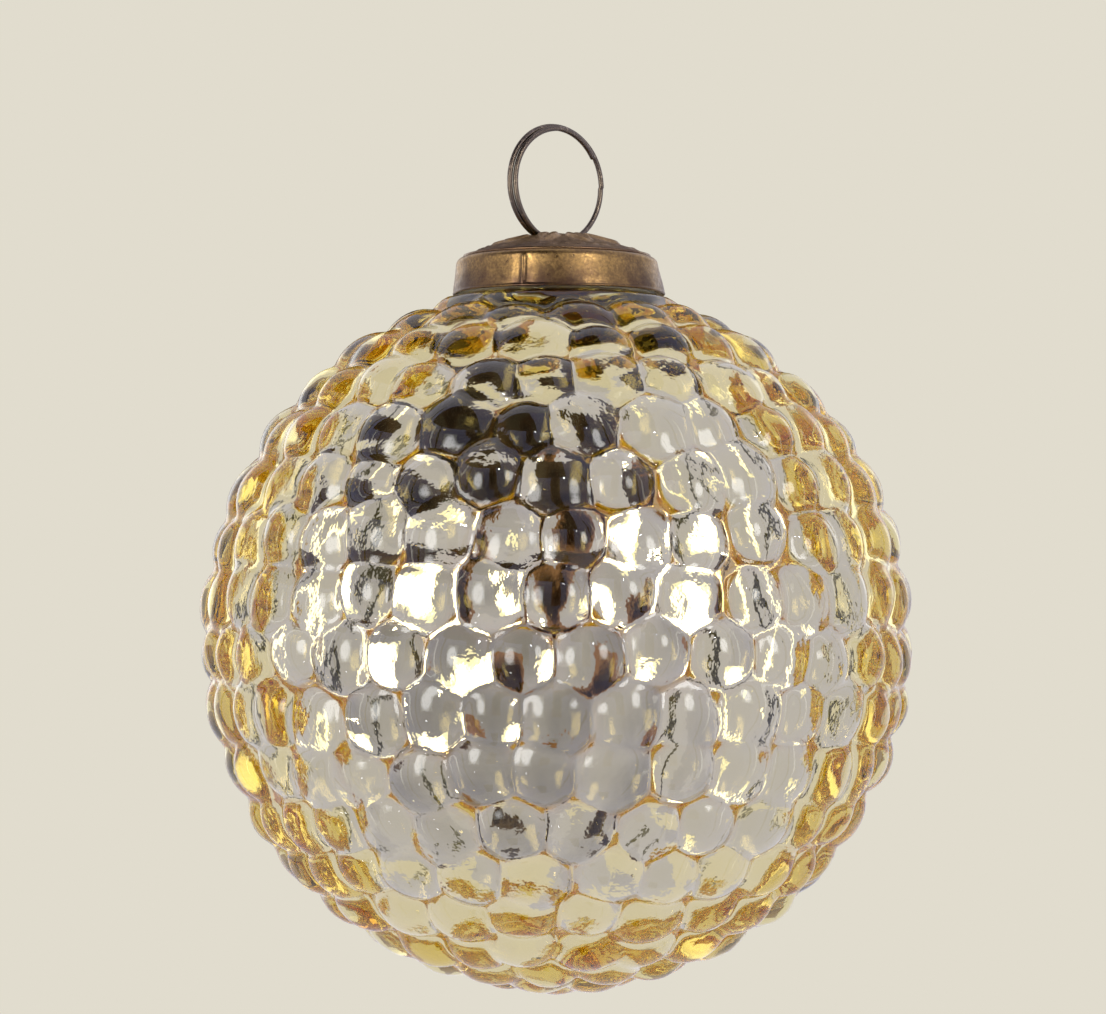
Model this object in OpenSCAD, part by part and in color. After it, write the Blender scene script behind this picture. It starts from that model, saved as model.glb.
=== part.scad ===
// Glass ball ornament: a silvered ball of bumpy glass, a two-piece brass cap and a wire ring.
// The ring stands in the XZ plane. The origin is where a hook bears on the inside of the ring,
// and the rest of the ornament hangs below it, +Z up.

/* [Glass ball] */
// Diameter of the ball over the tops of its bumps
ball_d = 100; // [94:1:100]
// Distance between neighbouring bumps of a row
bump_pitch = 9.1; // [9.1:0.1:9.6]
// Distance between two rows of bumps
row_pitch = 8.4; // [8.4:0.1:9]
// Radius of the round top of each bump
bump_r = 6.7; // [6.5:0.1:8]
// Glass from the inside wall to the top of a bump
glass_wall = 5; // [4.6:0.1:5.2]
// Thickness that the silvering is drawn with
silver_t = 0.2; // [0.1:0.05:0.4]

/* [Neck] */
// Outer radius of the glass neck
neck_r = 11; // [10:0.1:11.5]
// Wall of the glass neck
neck_wall = 1.5; // [1:0.1:2]
// Height of the neck above the cap's lower rim
neck_h = 4.4; // [3.6:0.1:4.6]

/* [Cap] */
// Outer radius of the cap's lower rim
rim_r = 14.6; // [14.3:0.1:15]
// Outer radius of the cap's wall at the shoulder
shoulder_r = 14.1; // [13.9:0.1:14.2]
// Height of the cap's wall, from the rim to the shoulder's flat
wall_h = 5.2; // [5:0.1:5.4]
// Rise of the crown above the shoulder
crown_rise = 3.6; // [3.4:0.1:4]
// Thickness of the brass sheet
sheet_t = 0.35; // [0.3:0.05:0.4]
// Direction of the band's folded seam, counted from +X
seam_angle = -147; // [-180:1:180]
// Number of embossed beads round the crown's centre
bead_count = 9; // [6:1:12]

/* [Ring] */
// Outer diameter of the ring
ring_d = 17; // [16.5:0.1:17.5]
// Thickness of the ring's wire
wire_d = 0.75; // [0.7:0.05:0.8]
// Direction of the wire's outer cut end, counted from +X
cut_angle = 33; // [25:1:40]
// Height of the ring's centre above the top of the crown
ring_lift = 6.85; // [6.8:0.05:6.9]
// Distance between the centres of the crown's two holes
hole_spacing = 7; // [6.9:0.05:7.1]
// Radius of each hole
hole_r = 2.05; // [2:0.01:2.1]

/* [Hidden] */
$fn = 96;

// Heights are counted from the ball's centre, which hangs drop below the origin
ball_r = ball_d / 2;
rim_drop = 2.4;
rim_z = ball_r - rim_drop;
neck_top = rim_z + neck_h;
shoulder_z = rim_z + wall_h;
crown_z = shoulder_z + crown_rise;
mean_r = (ring_d - wire_d) / 2;
ring_z = crown_z + ring_lift;
drop = ring_z + ring_d / 2 - wire_d;
// How far a cutting body runs past the face that it cuts
over = 1;

// The band's shoulder is rounded, and the crown's flange lies on the flat inside it
shoulder_fillet = 0.9;
crown_gap = 0.1;
crown_edge_r = shoulder_r - shoulder_fillet - crown_gap;
flange_w = 1.2;

// The ball's relief: round bumps in rows, counted from the bottom pole
cavity_r = ball_r - glass_wall;
row_step = row_pitch / ball_r * 180 / PI;
bump_step = bump_pitch / ball_r * 180 / PI;
bump_centre_r = ball_r - bump_r;
valley_depth = 2.6;
valley_r = ball_r - valley_depth;
seat_depth = 0.5;
seat_r = ball_r - seat_depth;
seat_margin = 0.3;
seat_colat = 180 - asin((rim_r + seat_margin) / seat_r);
last_row = floor(seat_colat / row_step);
rings_per_row = 4;
facets_per_bump = 4;
last_ring = last_row * rings_per_row;

// Number of bumps in a row, and the share of a pitch that the row is turned by
function bumps_in(row) = row == 0 ? 1 : round(360 * sin(row * row_step) / bump_step);
function row_turn(row) = (row % 2) / 2;

// Height of one bump's round top over a direction that is an angle away from its centre
function bump_height(away) =
    bump_centre_r * cos(away) + sqrt(max(0, pow(bump_r, 2) - pow(bump_centre_r * sin(away), 2)));

// Angle on the sphere between two directions
function angle_between(colat_a, colat_b, turn) =
    acos(min(1, cos(colat_a) * cos(colat_b) + sin(colat_a) * sin(colat_b) * cos(turn)));

// Highest of the two bumps of a row that are nearest to a direction
function row_height(colat, lon, row) =
    let (count = bumps_in(row), below = floor(lon * count / 360 - row_turn(row)))
    max([for (i = [0, 1])
        bump_height(angle_between(colat, row * row_step, lon - (below + i + row_turn(row)) * 360 / count))]);

// Radius of the ball's surface in a direction
function relief(colat, lon) =
    let (row = round(colat / row_step))
    max([valley_r, for (r = [max(0, row - 1) : min(last_row, row + 1)]) row_height(colat, lon, r)]);

function on_sphere(radius, colat, lon) =
    radius * [sin(colat) * cos(lon), sin(colat) * sin(lon), -cos(colat)];

// Rings of points from pole to pole, each with as many points as its length asks for
seat_rings = 2;
function ring_colat(ring) =
    ring <= last_ring ? ring * row_step / rings_per_row
    : seat_colat + (ring - last_ring - 1) * (180 - seat_colat) / seat_rings;
function ring_count(ring) =
    facets_per_bump * max(3, bumps_in(min(last_row, round(ring / rings_per_row))));
ring_total = last_ring + seat_rings;
ring_counts = [1, for (r = [1 : ring_total]) ring_count(r), 1];
ring_starts = [for (r = 0, s = 0; r < len(ring_counts); s = s + ring_counts[r], r = r + 1) s];

function ring_radius(ring, lon) =
    ring <= last_ring ? relief(ring_colat(ring), lon) : seat_r;

ball_points = [
    on_sphere(ball_r, 0, 0),
    for (r = [1 : ring_total], i = [0 : ring_counts[r] - 1])
        let (lon = i * 360 / ring_counts[r])
        on_sphere(ring_radius(r, lon), ring_colat(r), lon),
    [0, 0, seat_r]];

// Triangles between two rings with different numbers of points: each edge of a ring takes the
// point of the other ring that lies beside the edge's middle
function strip(a, n, b, m) = [
    for (i = [0 : n > 1 ? n - 1 : -1])
        [a + i, a + (i + 1) % n, b + ceil(((2 * i + 1) * m - n) / (2 * n)) % m],
    for (i = [0 : m > 1 ? m - 1 : -1])
        [b + (i + 1) % m, b + i, a + (floor(((2 * i + 1) * n - m) / (2 * m)) + 1) % n]];

ball_faces = [
    for (r = [0 : ring_total])
        each strip(ring_starts[r], ring_counts[r], ring_starts[r + 1], ring_counts[r + 1])];

// The ring's wire runs round 1.6 times. Its first turn lies in front of the second and a little
// inside it, and crosses over to the back under the crown
wire_step = 5;
wire_sides = 12;
strand_gap = wire_d + 0.04;
wire_end_angle = 251;
wire_turn = 360 + wire_end_angle - cut_angle;
crossing = [235, 330];
// How far the first turn is rolled from inside the second turn to beside it, round the ring
nesting = [[33, 35], [90, 66], [180, 32], [240, 85], [330, 85]];

function smooth(t) = let (s = min(1, max(0, t))) s * s * (3 - 2 * s);
function crossed(turn) = smooth((turn - crossing[0]) / (crossing[1] - crossing[0]));
function nest_angle(turn) = lookup(turn > 360 ? turn - 360 : turn, nesting);

// One point of the wire's skin, where turn is the angle along the coil
function wire_point(turn, side) =
    let (behind = crossed(turn),
         radius = mean_r - (1 - behind) * strand_gap * cos(nest_angle(turn))
             + wire_d / 2 * cos(side),
         y = (behind - 0.5) * strand_gap * sin(nest_angle(turn)) + wire_d / 2 * sin(side))
    [radius * cos(turn), y, radius * sin(turn)];

wire_rings = ceil(wire_turn / wire_step);
wire_points = [
    for (i = [0 : wire_rings], s = [0 : wire_sides - 1])
        wire_point(cut_angle + i * wire_turn / wire_rings, s * 360 / wire_sides)];
wire_faces = [
    [for (s = [0 : wire_sides - 1]) wire_sides - 1 - s],
    for (i = [0 : wire_rings - 1], s = [0 : wire_sides - 1])
        [i * wire_sides + s, i * wire_sides + (s + 1) % wire_sides,
         (i + 1) * wire_sides + (s + 1) % wire_sides, (i + 1) * wire_sides + s],
    [for (s = [0 : wire_sides - 1]) wire_rings * wire_sides + s]];

module at_ball() {
    translate([0, 0, -drop])
        children();
}

// Bumpy shell with its neck
module glass_ball() {
    color("khaki", 0.6)
        at_ball()
            difference() {
                union() {
                    polyhedron(points = ball_points, faces = ball_faces, convexity = 4);
                    cylinder(r = neck_r, h = neck_top);
                }
                sphere(r = cavity_r);
                cylinder(r = neck_r - neck_wall, h = neck_top + over);
            }
}

// Mirror coat on the inside of the glass
module silver_lining() {
    color("silver")
        at_ball()
            difference() {
                sphere(r = cavity_r);
                sphere(r = cavity_r - silver_t);
                cylinder(r = neck_r - neck_wall, h = ball_r);
            }
}

// Bedding that fixes the cap to the neck
module neck_cement() {
    color("beige")
        at_ball()
            translate([0, 0, rim_z])
                difference() {
                    cylinder(r = shoulder_r - sheet_t, h = neck_h);
                    translate([0, 0, -over])
                        cylinder(r = neck_r, h = neck_h + 2 * over);
                }
}

// Side wall of the cap: a strip of brass with a rolled rim, a folded seam and an inturned shoulder
rim_roll = 0.3;
rim_fold = 1;
seam_r = 0.42;
seam_out = 0.12;
hollow_r = 0.9;
hollow_out = 0.99;
hollow_turn = 5;
module cap_band() {
    color("darkgoldenrod")
        at_ball()
            difference() {
                union() {
                    rotate_extrude()
                        band_profile();
                    seam_cylinder(0, seam_r, shoulder_r + seam_out);
                }
                for (side = [-1, 1])
                    seam_cylinder(side * hollow_turn, hollow_r, shoulder_r + hollow_out);
            }
}

module seam_cylinder(turn, radius, out) {
    rotate([0, 0, seam_angle + turn])
        translate([out, 0, rim_z + 2 * rim_roll])
            cylinder(r = radius, h = wall_h - shoulder_fillet - 2 * rim_roll);
}

// Half section of the band: outer line from the rim up to the shoulder, then back down inside
module band_profile() {
    inner_r = shoulder_r - sheet_t;
    polygon([
        [rim_r - rim_roll - sheet_t, rim_z],
        for (a = [-90 : 15 : 60])
            [rim_r - rim_roll + rim_roll * cos(a), rim_z + rim_roll + rim_roll * sin(a)],
        for (a = [0 : 10 : 90])
            [shoulder_r - shoulder_fillet * (1 - cos(a)), shoulder_z - shoulder_fillet * (1 - sin(a))],
        [crown_edge_r - flange_w, shoulder_z],
        [crown_edge_r - flange_w, shoulder_z - sheet_t],
        for (a = [90 : -10 : 0])
            [inner_r - (shoulder_fillet - sheet_t) * (1 - cos(a)),
             shoulder_z - sheet_t - (shoulder_fillet - sheet_t) * (1 - sin(a))],
        [inner_r, rim_z + rim_fold]]);
}

// Half section of the crown's skin, a given depth below its outer surface
crown_lip = 0.3;
crown_flat_r = crown_edge_r - crown_lip;
crown_curve = 1.5;
function crown_height(r) =
    crown_z - (crown_rise - sheet_t) * pow(r / crown_flat_r, crown_curve);

bead_ring_r = 6;
bead_r = 1.3;
bead_rise = 0.35;
// Stamped top of the cap: a shallow dome with beads and the two holes that the ring runs through
module cap_crown() {
    color("peru")
        at_ball()
            difference() {
                union() {
                    rotate_extrude()
                        crown_profile();
                    for (i = [0 : bead_count - 1])
                        crown_bead(i * 360 / bead_count + 180 / bead_count);
                }
                for (side = [-1, 1])
                    translate([side * hole_spacing / 2, 0, shoulder_z])
                        cylinder(r = hole_r, h = crown_rise + over);
            }
}

module crown_profile() {
    steps = 16;
    polygon([
        for (i = [0 : steps])
            let (r = crown_flat_r * i / steps) [r, crown_height(r)],
        [crown_edge_r, shoulder_z + sheet_t],
        [crown_edge_r, shoulder_z],
        for (i = [steps : -1 : 0])
            let (r = crown_flat_r * i / steps) [r, max(shoulder_z, crown_height(r) - sheet_t)]]);
}

// One bead: a ball cut off at the crown's inner skin
module crown_bead(turn) {
    rotate([0, 0, turn])
        translate([bead_ring_r, 0, crown_height(bead_ring_r) + bead_rise - bead_r])
            intersection() {
                sphere(r = bead_r, $fn = 32);
                translate([-bead_r, -bead_r, bead_r - bead_rise - sheet_t])
                    cube([2 * bead_r, 2 * bead_r, bead_r]);
            }
}

// Ring of spring wire that runs through the crown's holes and hangs on a hook
module hanging_ring() {
    color("dimgray")
        translate([0, 0, ring_z - drop])
            polyhedron(points = wire_points, faces = wire_faces, convexity = 6);
}

glass_ball();
silver_lining();
neck_cement();
cap_band();
cap_crown();
hanging_ring();
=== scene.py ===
"""Looks of a hanging glass ball ornament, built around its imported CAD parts.

The ball is one closed body of bumpy glass with an absorbing tint, over a finely rippled mirror coat. The
amber ovals come from light that the bumps send back to the coat several times. Lengths are in metres.
"""

import math

import bmesh
import bpy
import numpy as np
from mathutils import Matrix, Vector


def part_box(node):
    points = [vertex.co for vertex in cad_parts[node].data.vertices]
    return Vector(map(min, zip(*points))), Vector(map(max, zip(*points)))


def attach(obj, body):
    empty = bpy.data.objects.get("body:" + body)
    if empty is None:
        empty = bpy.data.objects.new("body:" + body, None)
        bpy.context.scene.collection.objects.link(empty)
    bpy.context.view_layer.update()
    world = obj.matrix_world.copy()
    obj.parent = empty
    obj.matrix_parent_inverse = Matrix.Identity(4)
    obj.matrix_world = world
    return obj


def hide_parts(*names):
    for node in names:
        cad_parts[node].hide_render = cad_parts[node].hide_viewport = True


MM = 0.001
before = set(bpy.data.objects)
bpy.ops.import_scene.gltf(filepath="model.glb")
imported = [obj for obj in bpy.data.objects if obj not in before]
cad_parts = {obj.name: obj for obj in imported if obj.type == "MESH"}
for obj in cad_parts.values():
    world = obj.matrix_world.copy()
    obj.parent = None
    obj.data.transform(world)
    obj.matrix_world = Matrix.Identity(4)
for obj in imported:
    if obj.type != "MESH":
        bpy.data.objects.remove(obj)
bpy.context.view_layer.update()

# Places that the CAD parts give
BALL_R = 50 * MM
glass_low, glass_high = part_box("glass_ball")
band_low, band_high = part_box("cap_band")
crown_low, crown_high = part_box("cap_crown")
ring_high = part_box("hanging_ring")[1]
BALL_Z = glass_low.z + BALL_R
NECK_TOP = glass_high.z - BALL_Z
RIM_Z = band_low.z - BALL_Z
SHOULDER_Z = band_high.z - BALL_Z
CROWN_Z = crown_high.z - BALL_Z
CROWN_R = crown_high.x
RIM_R = band_high.y

# The ball's relief, in the same rows as the CAD part, counted from the bottom pole
ROW_STEP = 8.4 * MM / BALL_R
BUMP_STEP = 9.1 * MM / BALL_R
CREST_R = 6.7 * MM
TOP_R = BALL_R - 0.08 * MM
VALLEY_R = BALL_R - 2.6 * MM
CAVITY_R = BALL_R - 5 * MM
LAST_ROW = 17
# How uneven the bumps are: how far each is shifted and sunk, and how much its crest radius varies
BUMP_SHIFT = 1.15 * MM
BUMP_SINK = 0.5 * MM
CREST_SPREAD = 1.2 * MM
CREASE_SOFTNESS = 0.3 * MM
SKIN_RIPPLE = 0.05 * MM
SKIN_RIPPLE_LENGTH = 5 * MM

# The smooth seat under the cap, and the distances from the axis at which it gives way to the bumps
SEAT_R = BALL_R - 0.5 * MM
SEAT_EDGE = 14.9 * MM
COLLAR_EDGE = 16 * MM
SEAT_FADE = 3 * MM

# The neck, hidden in the cap
NECK_R = 11 * MM
BORE_R = 9.5 * MM
NECK_FOOT_Z = RIM_Z + 2 * MM

# The mirror coat. Its outer face lies inside the glass's own wall, so that no air is between them
COAT_R = CAVITY_R + 0.35 * MM
COAT_DEPTH = 0.6 * MM
COAT_RIPPLE = 0.09 * MM
COAT_RIPPLE_LENGTH = 6 * MM
COAT_FINE_RIPPLE = 0.035 * MM
COAT_FINE_RIPPLE_LENGTH = 3 * MM
# How deep in a valley the coat's painted shade starts, and over what depth it comes in. It is a darker amber
# painted under the valleys, for the amber of light trapped between the bumps
PAINTED_SHADE_DEPTH = 1.8 * MM
PAINTED_SHADE_FADE = 0.8 * MM


# ---- Mesh helpers -------------------------------------------------------------------------------


def add_mesh(name, points, faces, material):
    """A smooth-shaded mesh object from points and faces, with one material."""
    mesh = bpy.data.meshes.new(name)
    mesh.from_pydata(np.asarray(points).tolist(), [], faces)
    mesh.validate()
    mesh.shade_smooth()
    mesh.materials.append(material)
    made = bpy.data.objects.new(name, mesh)
    bpy.context.scene.collection.objects.link(made)
    return made


def drop_loose_points(made):
    """Deletes points that no face uses."""
    work = bmesh.new()
    work.from_mesh(made.data)
    bmesh.ops.delete(work, geom=[v for v in work.verts if not v.link_faces], context="VERTS")
    work.to_mesh(made.data)
    work.free()


def tube_faces(rings, columns, first=0, close_rings=False):
    """Quads between rings of points that each have the same number of columns."""
    faces = []
    for r in range(rings if close_rings else rings - 1):
        a = first + r * columns
        b = first + ((r + 1) % rings) * columns
        for c in range(columns):
            d = (c + 1) % columns
            faces.append((a + c, a + d, b + d, b + c))
    return faces


def fan(pole, ring_start, columns, flip=False):
    """Triangles from a pole to a ring of points."""
    faces = []
    for c in range(columns):
        edge = (ring_start + c, ring_start + (c + 1) % columns)
        faces.append((pole, edge[1], edge[0]) if not flip else (pole, edge[0], edge[1]))
    return faces


def smoothstep(t):
    """Goes softly from 0 to 1 as t does."""
    t = np.clip(t, 0, 1)
    return t * t * (3 - 2 * t)


def ripple(points, wavelength, seed, waves=24):
    """Smooth seeded noise at points in space, about -1 to 1."""
    rng = np.random.default_rng(seed)
    axes = rng.normal(size=(waves, 3))
    axes /= np.linalg.norm(axes, axis=1)[:, None]
    phases = rng.uniform(0, 2 * np.pi, waves)
    return np.cos(points @ axes.T * 2 * np.pi / wavelength + phases).sum(1) / math.sqrt(2 * waves)


# ---- The ball's relief --------------------------------------------------------------------------


def directions(colat, lon):
    """Unit vectors, with colat counted from the bottom pole."""
    colat, lon = np.broadcast_arrays(colat, lon)
    x, y, z = np.sin(colat) * np.cos(lon), np.sin(colat) * np.sin(lon), -np.cos(colat)
    return np.stack([x, y, z], -1).reshape(-1, 3)


def bump_table():
    """Each bump's direction, crest radius and height of its top, a little uneven as in blown glass."""
    rng = np.random.default_rng(11)
    centres, crests, tops = [], [], []
    for row in range(LAST_ROW + 1):
        count = max(1, round(2 * math.pi * math.sin(row * ROW_STEP) / BUMP_STEP))
        for i in range(count):
            shift = rng.uniform(-1, 1, 2) * BUMP_SHIFT / BALL_R
            around = math.sin(row * ROW_STEP) or 1
            lon = (i + (row % 2) / 2) * 2 * math.pi / count + shift[0] / around
            centres.append(directions(row * ROW_STEP + shift[1], lon)[0])
            crests.append(CREST_R + rng.uniform(-1, 1) * CREST_SPREAD)
            tops.append(TOP_R - rng.uniform(0, 1) * BUMP_SINK)
    return np.array(centres), np.array(crests), np.array(tops)


def relief(dirs):
    """Radius of the ball's skin along each direction: the bumps' round tops, softly joined.

    Under the cap the bumps give way to a smooth seat. The work goes in batches to save memory.
    """
    centres, crests, tops = BUMPS
    middles = tops - crests
    out = np.empty(len(dirs))
    batch = 4000
    for start in range(0, len(dirs), batch):
        part = dirs[start : start + batch]
        along = np.clip(part @ centres.T, -1, 1)
        inside = crests**2 - middles**2 * (1 - along**2)
        height = np.where(inside > 0, middles * along + np.sqrt(np.maximum(inside, 0)), 0)
        best = height.max(1)
        joined = np.exp((height - best[:, None]) / CREASE_SOFTNESS).sum(1)
        out[start : start + batch] = best + CREASE_SOFTNESS * (np.log(joined) - 0.1)
    out += SKIN_RIPPLE * (ripple(dirs * BALL_R, SKIN_RIPPLE_LENGTH, 5) - 0.5)
    around = np.hypot(dirs[:, 0], dirs[:, 1]) * BALL_R
    seat = SEAT_R + smoothstep((around - SEAT_EDGE) / SEAT_FADE) * (BALL_R - SEAT_R)
    under_cap = (1 - smoothstep((around - COLLAR_EDGE) / SEAT_FADE)) * (dirs[:, 2] > 0)
    lowest = VALLEY_R + under_cap * (SEAT_R - VALLEY_R)
    ceiling = np.where(dirs[:, 2] > 0, seat, BALL_R)
    return np.minimum(np.maximum(out, lowest), ceiling)


BUMPS = bump_table()

# ---- Node helpers -------------------------------------------------------------------------------


def new_material(name):
    """A material, its node tree and its Principled shader."""
    material = bpy.data.materials.new(name)
    material.use_nodes = True
    tree = material.node_tree
    return material, tree, tree.nodes["Principled BSDF"]


def add_node(tree, kind, inputs=None, **settings):
    """A node with its settings and inputs. An input that is a socket is linked to it."""
    node = tree.nodes.new(kind)
    for key, value in settings.items():
        setattr(node, key, value)
    for key, value in (inputs or {}).items():
        if isinstance(value, bpy.types.NodeSocket):
            tree.links.new(value, node.inputs[key])
        else:
            node.inputs[key].default_value = value
    return node


def noise(tree, scale, detail=4.0, roughness=0.6):
    """Noise in the object's own space, where scale is the number of grains in a metre."""
    coordinates = add_node(tree, "ShaderNodeTexCoord")
    place = coordinates.outputs["Object"]
    inputs = {"Vector": place, "Scale": scale, "Detail": detail, "Roughness": roughness}
    return add_node(tree, "ShaderNodeTexNoise", inputs).outputs["Fac"]


def spread(tree, value, low, high, to_low=0.0, to_high=1.0):
    """The value stretched so that low to high becomes to_low to to_high, with soft ends."""
    inputs = {"Value": value, "From Min": low, "From Max": high, "To Min": to_low, "To Max": to_high}
    return add_node(tree, "ShaderNodeMapRange", inputs, interpolation_type="SMOOTHSTEP").outputs["Result"]


def math_node(tree, operation, a, b, clamp=False):
    """The result of a sum on two values."""
    return add_node(tree, "ShaderNodeMath", {0: a, 1: b}, operation=operation, use_clamp=clamp).outputs[0]


def mix_colour(tree, factor, a, b):
    """Colour a where the factor is 0, and b where it is 1."""
    inputs = {0: factor, 6: a, 7: b}
    return add_node(tree, "ShaderNodeMix", inputs, data_type="RGBA").outputs[2]


def bump(tree, height, distance, strength=1.0):
    """A normal tilted as by a relief of that height."""
    inputs = {"Height": height, "Distance": distance, "Strength": strength}
    return add_node(tree, "ShaderNodeBump", inputs).outputs[0]


def rgb(r, g, b):
    return (r, g, b, 1.0)


# ---- Materials ----------------------------------------------------------------------------------


def glass_material():
    """Clear glass whose amber tint shows where light stays in it for long."""
    material, tree, shader = new_material("amber_glass")
    shader.inputs["Transmission Weight"].default_value = 1.0
    shader.inputs["Roughness"].default_value = 0.0
    shader.inputs["IOR"].default_value = 1.5
    tint = add_node(tree, "ShaderNodeVolumeAbsorption", {"Color": rgb(0.95, 0.88, 0.03), "Density": 42.0})
    tree.links.new(tint.outputs[0], tree.nodes["Material Output"].inputs["Volume"])
    return material


def coat_material():
    """Silvering, with painted shade under the valleys between the bumps: a darker amber that stands in for
    the amber of light trapped there.
    """
    material, tree, shader = new_material("silvering")
    valley = add_node(tree, "ShaderNodeAttribute", attribute_name="valley").outputs["Fac"]
    # Painted shade: a darker amber under the valleys, uneven, standing in for the amber of light trapped
    # between the bumps
    painted_valley_shade = math_node(tree, "MULTIPLY", valley, spread(tree, noise(tree, 160), 0.3, 0.6, 0.5, 1.0))
    colour = mix_colour(tree, painted_valley_shade, rgb(0.95, 0.85, 0.61), rgb(0.82, 0.50, 0.12))
    tree.links.new(colour, shader.inputs["Base Color"])
    tree.links.new(spread(tree, noise(tree, 300), 0.35, 0.7, 0.02, 0.06), shader.inputs["Roughness"])
    tree.links.new(bump(tree, noise(tree, 420, 3.0), 0.05 * MM), shader.inputs["Normal"])
    shader.inputs["Metallic"].default_value = 1.0
    return material


def brass_material(name, dark, bright, low_z, high_z):
    """Antique brass: dark patina, speckled and rubbed, with painted shade and light going from dark at low_z
    to bright at high_z.
    """
    material, tree, shader = new_material(name)
    place = add_node(tree, "ShaderNodeTexCoord").outputs["Object"]
    height = add_node(tree, "ShaderNodeSeparateXYZ", {0: place}).outputs["Z"]
    # Painted shade and light: the brass is darker towards the bottom and brighter towards the top
    painted_light_by_height = spread(tree, height, low_z, high_z)
    speckle = spread(tree, noise(tree, 2600, 3.0, 0.7), 0.35, 0.68)
    patches = spread(tree, noise(tree, 230, 5.0, 0.65), 0.35, 0.65)
    painted_light_share = math_node(tree, "MULTIPLY", painted_light_by_height, 0.55)
    local = math_node(tree, "MULTIPLY", patches, 0.35)
    grain = math_node(tree, "ADD", math_node(tree, "MULTIPLY", speckle, 0.7), 0.5)
    # Rubbed, patchy wear, mixed with the painted shade and light by height
    wear_and_painted_shade = math_node(tree, "MULTIPLY", math_node(tree, "ADD", painted_light_share, local), grain, True)
    tree.links.new(mix_colour(tree, wear_and_painted_shade, dark, bright), shader.inputs["Base Color"])
    dullness = spread(tree, noise(tree, 1400, 4.0, 0.7), 0.3, 0.7, 0.27, 0.46)
    tree.links.new(dullness, shader.inputs["Roughness"])
    tree.links.new(bump(tree, noise(tree, 2600, 3.0, 0.7), 0.03 * MM, 0.5), shader.inputs["Normal"])
    shader.inputs["Metallic"].default_value = 1.0
    return material


def wire_material():
    """Bronzed steel wire with drawing marks and rubbed spots."""
    material, tree, shader = new_material("bronzed_wire")
    rubbed = spread(tree, noise(tree, 900, 5.0, 0.7), 0.52, 0.72)
    colour = mix_colour(tree, rubbed, rgb(0.13, 0.10, 0.070), rgb(0.36, 0.28, 0.19))
    tree.links.new(colour, shader.inputs["Base Color"])
    tree.links.new(spread(tree, noise(tree, 2200), 0.3, 0.7, 0.26, 0.45), shader.inputs["Roughness"])
    tree.links.new(bump(tree, noise(tree, 3500, 3.0), 0.02 * MM, 0.5), shader.inputs["Normal"])
    shader.inputs["Metallic"].default_value = 1.0
    return material


def cement_material():
    """Dry, grainy bedding."""
    material, tree, shader = new_material("bedding")
    grain = noise(tree, 1500, 5.0, 0.75)
    colour = mix_colour(tree, grain, rgb(0.40, 0.36, 0.28), rgb(0.66, 0.62, 0.53))
    tree.links.new(colour, shader.inputs["Base Color"])
    tree.links.new(bump(tree, grain, 0.15 * MM, 0.8), shader.inputs["Normal"])
    shader.inputs["Roughness"].default_value = 0.9
    return material


# ---- The glass and its coat ---------------------------------------------------------------------

NECK_COLAT = math.pi - math.asin(NECK_R / SEAT_R)
BORE_COLAT = math.pi - math.asin(BORE_R / CAVITY_R)


def arc(centre_r, centre_z, radius, start, end, count):
    """Points (distance from the axis, height) along an arc of a half section."""
    turn = np.radians(np.linspace(start, end, count))
    return [(centre_r + radius * math.cos(t), centre_z + radius * math.sin(t)) for t in turn]


def revolve(profile, columns):
    """Points of a surface of revolution about the ball's axis, ring by ring."""
    lon = np.arange(columns) * 2 * np.pi / columns
    profile = np.array(profile)
    r = profile[:, :1] * np.ones(columns)
    z = profile[:, 1:] * np.ones(columns)
    return np.stack([r * np.cos(lon), r * np.sin(lon), z + BALL_Z], -1).reshape(-1, 3)


def ball_skin(radius_at, start, end, rings, columns):
    """Points of a sphere-like skin between two colats, ring by ring, without the pole."""
    colat = np.linspace(start, end, rings)[:, None]
    lon = (np.arange(columns) * 2 * np.pi / columns)[None, :]
    dirs = directions(colat, lon)
    return dirs * radius_at(dirs)[:, None] + [0, 0, BALL_Z]


def glass_points(columns=420, skin_rings=178, cavity_rings=22):
    """Rings of the glass, from the bottom pole over the bumps, up the neck, in, and down the cavity.

    Gives the points, and how many there are in a ring.
    """
    step = NECK_COLAT / skin_rings
    skin = ball_skin(relief, step, NECK_COLAT, skin_rings, columns)
    lip = (NECK_R - BORE_R) / 2
    neck = [(NECK_R, NECK_FOOT_Z), (NECK_R, NECK_TOP - lip)]
    neck += arc((NECK_R + BORE_R) / 2, NECK_TOP - lip, lip, 30, 150, 5)
    neck += [(BORE_R, NECK_TOP - lip), (BORE_R, RIM_Z)]

    def cavity(dirs):
        return np.full(len(dirs), CAVITY_R)

    inner = ball_skin(cavity, BORE_COLAT, BORE_COLAT / cavity_rings, cavity_rings, columns)
    rings = [skin, revolve(neck, columns), inner]
    bottom = relief(np.array([[0, 0, -1.0]]))[0]
    return np.vstack([[[0, 0, BALL_Z - bottom]], *rings, [[0, 0, BALL_Z - CAVITY_R]]]), columns


def closed_rings(points, columns):
    """Faces of a closed skin: a pole, rings, and a pole again."""
    rings = (len(points) - 2) // columns
    faces = fan(0, 1, columns)
    faces += tube_faces(rings, columns, first=1)
    faces += fan(len(points) - 1, 1 + (rings - 1) * columns, columns, flip=True)
    return faces


def build_glass():
    """The ball: its bumps, neck and cavity as one closed skin."""
    points, columns = glass_points()
    made = add_mesh("bumpy_glass", points, closed_rings(points, columns), glass_material())
    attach(made, "ornament")
    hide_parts("glass_ball")


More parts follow.
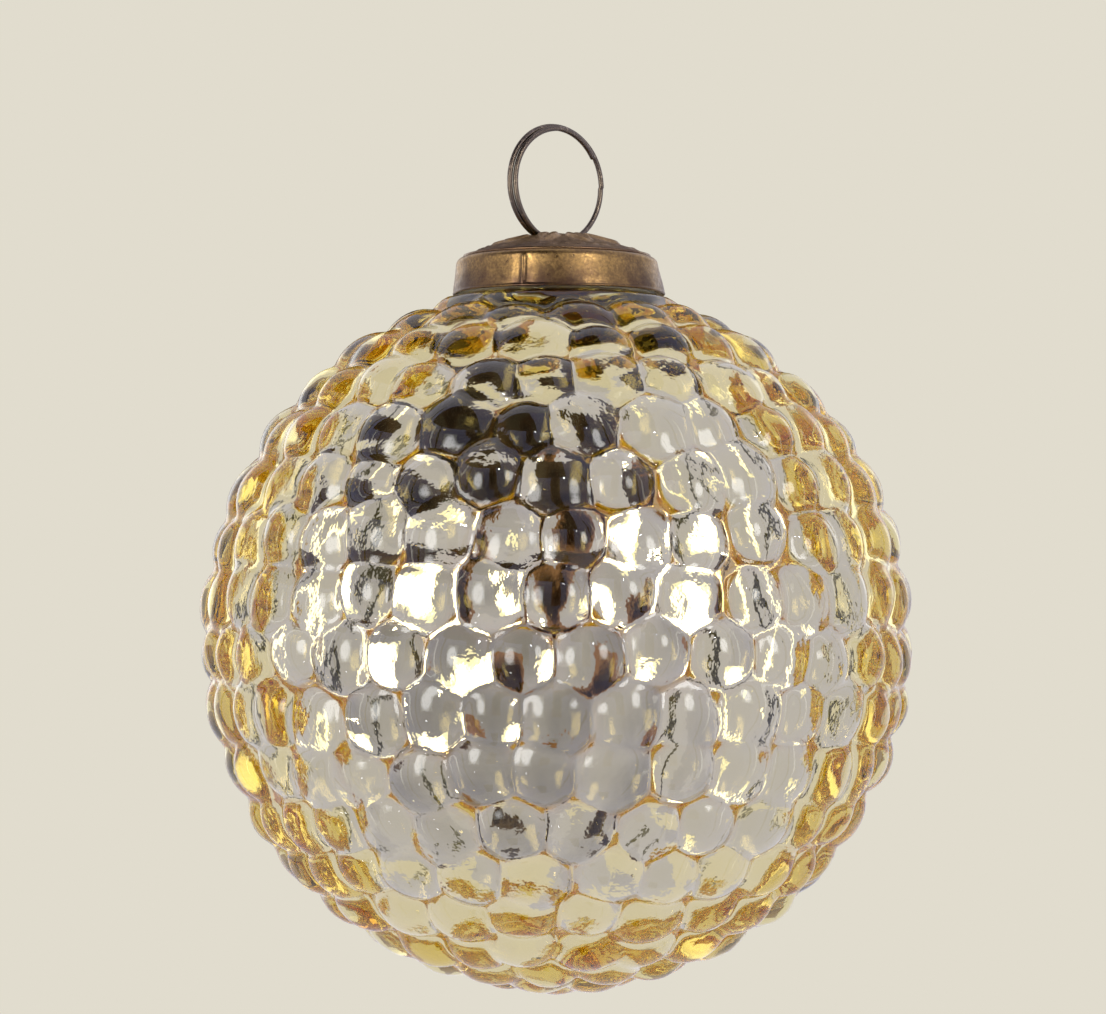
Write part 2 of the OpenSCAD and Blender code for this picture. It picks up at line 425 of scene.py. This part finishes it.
def build_coat(columns=360, rings=190, inner_rings=24):
    """The silvering: a thin closed shell with small ripples, which tear the reflections."""

    def rippled(dirs):
        places = dirs * BALL_R
        coarse = COAT_RIPPLE * ripple(places, COAT_RIPPLE_LENGTH, 3)
        return COAT_R + coarse + COAT_FINE_RIPPLE * ripple(places, COAT_FINE_RIPPLE_LENGTH, 4)

    def plain(dirs):
        return np.full(len(dirs), COAT_R - COAT_DEPTH)

    mouth_gap = 0.1 * MM
    end = math.pi - math.asin((BORE_R + mouth_gap) / COAT_R)
    outer = ball_skin(rippled, end / rings, end, rings, columns)
    inner = ball_skin(plain, end, end / inner_rings, inner_rings, columns)
    outer_pole = [0, 0, BALL_Z - COAT_R]
    inner_pole = [0, 0, BALL_Z - COAT_R + COAT_DEPTH]
    points = np.vstack([[outer_pole], outer, inner, [inner_pole]])
    made = add_mesh("silver_coat", points, closed_rings(points, columns), coat_material())
    dirs = points - [0, 0, BALL_Z]
    dirs /= np.linalg.norm(dirs, axis=1)[:, None]
    # How far below the crests each point lies, which places the coat's painted shade in the valleys
    depth = TOP_R - relief(dirs)
    valley = made.data.attributes.new("valley", "FLOAT", "POINT")
    valley.data.foreach_set("value", smoothstep((depth - PAINTED_SHADE_DEPTH) / PAINTED_SHADE_FADE).astype(np.float32))
    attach(made, "ornament")
    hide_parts("silver_lining")


# ---- The cap ------------------------------------------------------------------------------------

# Thickness of the cap's brass
SHEET = 0.35 * MM
# The folded seam's ridge, and the shallow grooves that lie GROOVE_OFF to each side of it
SEAM_ANGLE = math.radians(-147)
RIDGE_H = 0.26 * MM
RIDGE_W = 0.22 * MM
GROOVE_H = 0.07 * MM
GROOVE_W = 0.45 * MM
GROOVE_OFF = 0.75 * MM
# The side wall's dents, its uneven lower edge, and how far the edge stands out at FLARE_ANGLE
DENT_H = 0.07 * MM
FINE_DENT_H = 0.02 * MM
RIM_WAVE = 0.06 * MM
FLARE_ANGLE = math.radians(-38)
FLARE = 0.55 * MM
# The crown's holes, and its stamped leaves, veins and fine beads
HOLE_X = 3.5 * MM
HOLE_R = 2.05 * MM
HOLE_CLEAR = 0.9 * MM
PETALS = 9
LEAF_START = 3.6 * MM
LEAF_LENGTH = 6.2 * MM
LEAF_HALF_W = 1.9 * MM
LEAF_H = 0.42 * MM
VEIN_HALF_W = 0.28 * MM
VEIN_H = 0.2 * MM
BEADS = 36
BEAD_RING_R = 10.9 * MM
BEAD_HALF_W = 0.45 * MM
BEAD_H = 0.16 * MM
UNEVEN_H = 0.10 * MM
# The dome's first ring is so small that it is a point in effect
CENTRE_R = 0.0001 * MM


def build_band(columns=480):
    """The cap's side wall: a strip with a rolled rim, a folded seam and small dents."""
    wall_r = RIM_R - 0.5 * MM
    fillet = 1.0 * MM
    flange_r = CROWN_R - 1.2 * MM
    roll = 0.2 * MM
    # How far the wall stands out at even steps above its foot, in millimetres
    wall_foot = RIM_Z + 0.6 * MM
    wall_step = 0.47 * MM
    bulge = [0.42, 0.36, 0.29, 0.23, 0.17, 0.12, 0.07, 0.03]
    profile = arc(RIM_R - roll, RIM_Z + roll, roll, -150, 60, 11)
    profile += [(wall_r + out * MM, wall_foot + wall_step * i) for i, out in enumerate(bulge)]
    profile += arc(wall_r - fillet, SHOULDER_Z - fillet, fillet, 0, 90, 11)
    profile += [(CROWN_R, SHOULDER_Z), (flange_r, SHOULDER_Z), (flange_r, SHOULDER_Z - SHEET)]
    profile += arc(wall_r - fillet, SHOULDER_Z - fillet, fillet - SHEET, 90, 0, 6)
    profile += [(wall_r - SHEET, RIM_Z + 1.2 * MM)]
    points = revolve(profile, columns)
    flat = points - [0, 0, BALL_Z]
    above, below = flat[:, 2] - RIM_Z, SHOULDER_Z - flat[:, 2]
    lon = np.arctan2(flat[:, 1], flat[:, 0])
    off = (lon - SEAM_ANGLE + np.pi) % (2 * np.pi) - np.pi
    arc_off = off * RIM_R
    wall = smoothstep((above - 0.2 * MM) / (0.6 * MM)) * smoothstep((below - 0.5 * MM) / (0.6 * MM))
    ridge = RIDGE_H * np.exp(-((arc_off / RIDGE_W) ** 2))
    fold = ridge - GROOVE_H * np.exp(-(((np.abs(arc_off) - GROOVE_OFF) / GROOVE_W) ** 2))
    dents = DENT_H * ripple(flat, 9 * MM, 21) + FINE_DENT_H * ripple(flat, 3 * MM, 22)
    flare = FLARE * np.maximum(0, np.cos(lon - FLARE_ANGLE)) * smoothstep(below / (5 * MM))
    push = (fold + dents) * wall + flare
    out = np.stack([np.cos(lon), np.sin(lon), np.zeros_like(lon)], -1)
    points = points + out * push[:, None]
    rim_wave = RIM_WAVE * ripple(flat * [1, 1, 0], 16 * MM, 23)
    points[:, 2] += rim_wave * smoothstep((1.0 * MM - above) / MM)
    faces = tube_faces(len(profile), columns, close_rings=True)
    # The dark end is patina and painted shade, the bright end rubbed brass and painted light
    dark, bright = rgb(0.080, 0.045, 0.028), rgb(0.42, 0.255, 0.080)
    material = brass_material("antique_brass_band", dark, bright, band_low.z, band_high.z)
    made = add_mesh("cap_side_band", points, faces, material)
    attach(made, "ornament")
    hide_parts("cap_band")


def crown_height(r):
    """Height of the plain crown above its flange."""
    flat_r = CROWN_R - 0.3 * MM
    return (CROWN_Z - SHOULDER_Z - SHEET) * (1 - np.clip(r / flat_r, 0, 1) ** 1.5)


def embossing(x, y):
    """Height of the stamped leaves, their veins and the ring of fine beads round them."""
    r = np.hypot(x, y)
    turn = np.arctan2(y, x) * PETALS / (2 * np.pi)
    off = (turn - np.floor(turn) - 0.5) * 2 * np.pi / PETALS * r
    length = np.clip((r - LEAF_START) / LEAF_LENGTH, 0, 1)
    width = LEAF_HALF_W * np.sin(np.pi * length**0.8) + 0.05 * MM
    leaf = smoothstep((1 - np.abs(off) / width) / 0.45) * smoothstep(np.sin(np.pi * length) / 0.5)
    vein = np.exp(-((off / VEIN_HALF_W) ** 2)) * leaf
    bead_ring = np.exp(-(((r - BEAD_RING_R) / BEAD_HALF_W) ** 2))
    beads = np.maximum(0, np.cos(np.arctan2(y, x) * BEADS)) * bead_ring
    stamped = LEAF_H * leaf - VEIN_H * vein + BEAD_H * beads
    to_hole = np.minimum(np.hypot(x - HOLE_X, y), np.hypot(x + HOLE_X, y)) - HOLE_R
    uneven = UNEVEN_H * ripple(np.stack([x, y, 0 * x], -1), 6 * MM, 31)
    return (stamped + uneven) * smoothstep(to_hole / HOLE_CLEAR)


def build_crown(columns=252, step=0.25 * MM):
    """The stamped top: a thin dome of leaves with two round holes for the ring."""
    radii = [CENTRE_R, *np.arange(step, CROWN_R, step), CROWN_R]
    turn = np.arange(columns) * 2 * np.pi / columns
    x = np.outer(radii, np.cos(turn)).ravel()
    y = np.outer(radii, np.sin(turn)).ravel()
    inside = np.zeros(len(x), bool)
    for hole_x in (-HOLE_X, HOLE_X):
        away = np.hypot(x - hole_x, y)
        near = away < HOLE_R
        inside |= near
        pull = np.where(near, HOLE_R / np.maximum(away, 1e-9), 1)
        x, y = hole_x + (x - hole_x) * pull, y * pull
    faces = [f for f in tube_faces(len(radii), columns) if not all(inside[v] for v in f)]
    r = np.hypot(x, y)
    z = SHOULDER_Z + SHEET + crown_height(r) + embossing(x, y) * smoothstep((CROWN_R - r) / (1.2 * MM))
    top = np.stack([x, y, z + BALL_Z], -1)
    count = len(top)
    edges = [edge for f in faces for edge in zip(f, f[1:] + f[:1])]
    known = set(edges)
    walls = [(b, a, a + count, b + count) for a, b in edges if (b, a) not in known]
    under = [tuple(v + count for v in reversed(f)) for f in faces]
    points = np.vstack([top, top - [0, 0, SHEET]])
    # The dark end is patina and painted shade, the bright end rubbed brass and painted light
    dark, bright = rgb(0.15, 0.088, 0.048), rgb(0.48, 0.31, 0.13)
    material = brass_material("antique_brass_crown", dark, bright, crown_low.z, crown_high.z)
    made = add_mesh("cap_stamped_crown", points, faces + walls + under, material)
    drop_loose_points(made)
    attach(made, "ornament")
    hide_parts("cap_crown")


# ---- The ring -----------------------------------------------------------------------------------

WIRE_R = 0.375 * MM
STRAND_GAP = 0.79 * MM
MEAN_R = 8.125 * MM
RING_Z = ring_high.z - MEAN_R - WIRE_R
# The coil starts at the cut and ends at END_ANGLE a turn later. NESTING pairs an angle along the coil with
# how the inner strand lies on the outer one: 0 is inside it, towards the centre, and 90 is in front of it.
# Over CROSSING the strand goes from the front to the back. All are in degrees
CUT_ANGLE = 33
END_ANGLE = 251
NESTING = [(33, 35), (90, 66), (180, 32), (240, 85), (330, 85)]
CROSSING = (235, 330)
CUT_END_SHARE = 0.8


def coil_centre(turn):
    """Centre of the wire at an angle along the coil, in degrees."""
    nest = np.radians(np.interp(turn - 360 if turn > 360 else turn, *zip(*NESTING)))
    behind = float(smoothstep((turn - CROSSING[0]) / (CROSSING[1] - CROSSING[0])))
    radius = MEAN_R - (1 - behind) * STRAND_GAP * math.cos(nest)
    y = (behind - 0.5) * STRAND_GAP * math.sin(nest)
    t = math.radians(turn)
    return np.array([radius * math.cos(t), y, radius * math.sin(t) + RING_Z])


def build_ring(sides=24, step=1.5):
    """The ring's wire, swept round 1.6 turns, with softened cut ends."""
    last = 360 + END_ANGLE
    turns = np.linspace(CUT_ANGLE, last, round((last - CUT_ANGLE) / step))
    points = []
    for i, turn in enumerate(turns):
        t = math.radians(turn)
        outward = np.array([math.cos(t), 0, math.sin(t)])
        side = np.linspace(0, 2 * np.pi, sides, endpoint=False)
        rim = WIRE_R * (CUT_END_SHARE if i in (0, len(turns) - 1) else 1)
        section = np.cos(side)[:, None] * outward + np.sin(side)[:, None] * [0, 1, 0]
        points.append(coil_centre(turn) + rim * section)
    faces = tube_faces(len(turns), sides)
    faces.append(tuple(range(sides - 1, -1, -1)))
    faces.append(tuple((len(turns) - 1) * sides + s for s in range(sides)))
    made = add_mesh("wire_ring", np.vstack(points), faces, wire_material())
    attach(made, "ring")
    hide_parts("hanging_ring")


def dress(node, material):
    """Gives a CAD part that is shown as it is a better material."""
    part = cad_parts[node]
    part.data.materials.clear()
    part.data.materials.append(material)


build_glass()
build_coat()
build_band()
build_crown()
build_ring()
dress("neck_cement", cement_material())

# ---- Stage, light and camera --------------------------------------------------------------------

CAMERA_AZIMUTH = -38
CAMERA_DISTANCE = 0.5
CAMERA_PITCH = 2.06
CAMERA_YAW = 0.064
CAMERA_LENS = 116.6
LIGHT_BOUNCES = 24
BACKDROP_R = 4
FLOOR_R = 1.3
FLOOR_DROP = 0.3
# The backdrop is what only the camera sees, the sky lights from all round, and cool tints the front panels
BACKDROP = rgb(0.753, 0.716, 0.617)
SKY = (0.86, 0.86, 1.00)
COOL = (0.82, 0.86, 1.34)
ball_centre = Vector((0, 0, BALL_Z))


def towards(azimuth, elevation):
    """Unit vector from the object. Azimuth is counted from the camera, positive to its right."""
    a = math.radians(CAMERA_AZIMUTH + azimuth)
    e = math.radians(elevation)
    return Vector((math.sin(a) * math.cos(e), -math.cos(a) * math.cos(e), math.sin(e)))


def glow(name, colour, strength=1.0):
    """A material that only shines."""
    material = bpy.data.materials.new(name)
    material.use_nodes = True
    tree = material.node_tree
    tree.nodes.clear()
    light = add_node(tree, "ShaderNodeEmission", {"Color": colour, "Strength": strength})
    output = add_node(tree, "ShaderNodeOutputMaterial")
    tree.links.new(light.outputs[0], output.inputs[0])
    return material


def panel(name, azimuth, elevation, core, edge, colour=(1, 1, 1), distance=1.0, fade=0.5):
    """A curved screen round the ball, between two azimuths and two elevations. The camera doesn't see it.

    Its strength goes from core in the middle to edge at its sides, over a share of its half width. It
    shows in what is shiny or clear, and doesn't light the floor.
    """
    columns, rows = 32, 24
    across, up = np.linspace(-1, 1, columns), np.linspace(-1, 1, rows)
    points, strengths = [], []
    for v in up:
        for u in across:
            a = np.interp(u, [-1, 1], azimuth)
            e = np.interp(v, [-1, 1], elevation)
            points.append(ball_centre + towards(a, e) * distance)
            strengths.append(edge + (core - edge) * float(smoothstep((1 - math.hypot(u, v) * 0.9) / fade)))
    faces = []
    for r in range(rows - 1):
        for c in range(columns - 1):
            at = r * columns + c
            faces.append((at, at + 1, at + columns + 1, at + columns))
    material = glow(name, rgb(*colour))
    tree = material.node_tree
    strength = add_node(tree, "ShaderNodeAttribute", attribute_name="strength").outputs["Fac"]
    tree.links.new(strength, tree.nodes["Emission"].inputs["Strength"])
    made = add_mesh(name, points, faces, material)
    made.data.attributes.new("strength", "FLOAT", "POINT").data.foreach_set("value", strengths)
    made.visible_camera = False
    made.visible_diffuse = False


def build_stage():
    """Sky, backdrop, pale floor, and the panels that the glass and the metal reflect."""
    world = bpy.data.worlds.new("studio")
    bpy.context.scene.world = world
    world.use_nodes = True
    background = world.node_tree.nodes["Background"]
    background.inputs["Color"].default_value = rgb(*SKY)
    background.inputs["Strength"].default_value = 1.0

    bpy.ops.mesh.primitive_uv_sphere_add(radius=BACKDROP_R, segments=48, ring_count=24, location=ball_centre)
    backdrop = bpy.context.object
    backdrop.name = "backdrop"
    backdrop.data.materials.append(glow("backdrop", BACKDROP))
    for ray in ("visible_glossy", "visible_diffuse", "visible_transmission", "visible_shadow"):
        setattr(backdrop, ray, False)

    floor_place = (0, 0, BALL_Z - FLOOR_DROP)
    bpy.ops.mesh.primitive_circle_add(vertices=96, radius=FLOOR_R, fill_type="NGON", location=floor_place)
    floor = bpy.context.object
    floor.name = "floor"
    material, _, shader = new_material("pale_floor")
    shader.inputs["Base Color"].default_value = rgb(0.868, 0.805, 0.605)
    shader.inputs["Roughness"].default_value = 1.0
    shader.inputs["Specular IOR Level"].default_value = 0.0
    floor.data.materials.append(material)
    floor.visible_glossy = False
    floor.visible_transmission = False

    panel("cool_wall", (-112, 112), (-72, 88), 0.80, 0.80, COOL, 2.2)
    panel("grey_wall", (-84, 44), (-76, 30), 0.38, 0.70, COOL, 1.6, fade=0.9)
    panel("softbox_left", (-52, -26), (-14, 28), 9, 1.6)
    panel("softbox_right", (27, 47), (2, 34), 9, 1.6)
    panel("spark_left", (-36, -33), (40, 43), 70, 70)
    panel("spark_right", (16, 19), (34, 37), 70, 70)
    panel("spark_low", (-44, -41), (-32, -29), 15, 15)
    panel("strip_left", (-84, -79), (-34, 50), 3.0, 1.2)
    panel("strip_right", (73, 78), (-34, 50), 3.0, 1.2)
    panel("stand_left", (-67, -63), (-60, 60), 0.06, 0.2)
    panel("stand_right", (57, 61), (-60, 60), 0.06, 0.2)
    panel("dark_camera", (-9, 10), (-14, 44), 0.02, 0.30, (1.0, 0.55, 0.36), 0.9, fade=0.6)
    panel("dark_ceiling", (-100, 22), (38, 88), 0.02, 0.08, (0.8, 0.6, 0.5), 0.85)
    panel("dark_below", (-30, 6), (-76, -58), 0.04, 0.15, (0.8, 0.6, 0.5), 0.9)
    panel("softbox_back_left", (-160, -136), (-8, 30), 1.9, 1.1, distance=1.2)
    panel("softbox_back_right", (134, 152), (0, 34), 1.9, 1.1, distance=1.2)
    panel("dark_back", (168, 196), (-10, 48), 0.05, 0.4, (0.9, 0.7, 0.6), 1.2)
    panel("stand_back_left", (-116, -112), (-50, 60), 0.1, 0.4, distance=1.2)
    panel("stand_back_right", (112, 116), (-50, 60), 0.1, 0.4, distance=1.2)


def build_camera():
    """A long lens level with the ball's centre, tilted up a little so that the ball sits low in the frame."""
    lens = bpy.data.cameras.new("camera")
    lens.lens = CAMERA_LENS
    lens.sensor_width = 36
    lens.clip_start = 0.01
    lens.clip_end = 20
    made = bpy.data.objects.new("camera", lens)
    bpy.context.scene.collection.objects.link(made)
    made.location = ball_centre + towards(0, 0) * CAMERA_DISTANCE
    made.rotation_euler = (math.radians(90 + CAMERA_PITCH), 0, math.radians(CAMERA_AZIMUTH + CAMERA_YAW))
    bpy.context.scene.camera = made


build_stage()
build_camera()
scene = bpy.context.scene
scene.view_settings.view_transform = "Standard"
scene.cycles.max_bounces = LIGHT_BOUNCES
scene.cycles.glossy_bounces = LIGHT_BOUNCES
scene.cycles.transmission_bounces = LIGHT_BOUNCES
